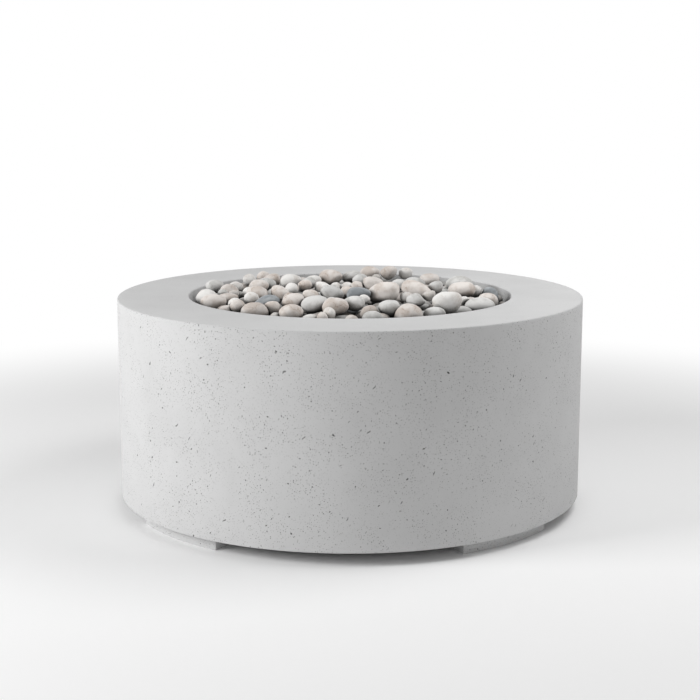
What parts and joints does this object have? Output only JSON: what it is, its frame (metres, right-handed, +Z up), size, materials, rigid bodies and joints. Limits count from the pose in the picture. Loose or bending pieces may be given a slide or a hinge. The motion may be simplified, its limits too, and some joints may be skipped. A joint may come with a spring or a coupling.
{
  "type": "gas fire pit table",
  "caption": "Round cast concrete gas fire pit table: low drum on arc feet, ring burner under lava rock and rolled stones, key valve in the back wall.",
  "frame": {"origin": "on the floor, on the drum's axis, midway between the four feet", "axes": "+Z up along the drum's axis; +Y towards the back wall with the key valve; -Y is the front that the picture shows"},
  "size_m": [1.0668, 1.1323, 0.5227],
  "materials": {
    "cast_concrete": "smooth cast glass-fibre concrete, matt, with small air holes",
    "galvanised_steel": "zinc plated",
    "stainless_sheet": "brushed stainless sheet",
    "stainless_tube": "welded stainless tube",
    "stainless_line": "flexible stainless gas line",
    "brass_fittings": "turned brass",
    "valve_brass": "forged brass",
    "polished_chrome": "polished chrome plate",
    "lava_rock": "crushed lava rock",
    "pale_stone": "rolled stone, matt, ivory",
    "warm_stone": "rolled stone, matt, beige with brown mottling",
    "grey_stone": "rolled stone, matt, cool grey",
    "dark_stone": "rolled stone, matt, dark blue-grey"
  },
  "bodies": {
    "root": {"shell": "cast_concrete", "foot_back_right": "cast_concrete", "foot_back_left": "cast_concrete", "foot_front_left": "cast_concrete", "foot_front_right": "cast_concrete", "foot_bolts": "galvanised_steel", "threaded_inserts": "galvanised_steel", "burner_pan": "stainless_sheet", "ring_burner": "stainless_tube", "burner_standoffs": "stainless_tube", "gas_nipple": "galvanised_steel", "pan_lock_nut": "galvanised_steel", "pan_washer": "stainless_sheet", "elbow": "brass_fittings", "air_mixer": "brass_fittings", "gas_jet": "brass_fittings", "gas_line": "stainless_line", "flare_nuts": "brass_fittings", "valve_body": "valve_brass", "valve_cap": "valve_brass", "valve_lock_nut": "valve_brass", "escutcheon": "polished_chrome", "lava_rock": "lava_rock", "stones_pale": "pale_stone", "stones_warm": "warm_stone", "stones_grey": "grey_stone", "stones_dark": "dark_stone"},
    "valve_plug": {"valve_plug": "valve_brass"},
    "key": {"gas_key": "polished_chrome"}
  },
  "joints": [
    {"name": "valve_turn", "type": "hinge", "parent": "root", "child": "valve_plug", "pos_m": [0, 0.4474, 0.18], "axis": [0, 1, 0], "range_deg": [0, 90]},
    {"name": "key_pull", "type": "slide", "parent": "valve_plug", "child": "key", "axis": [0, 1, 0], "range_m": [0, 0.06]}
  ]
}
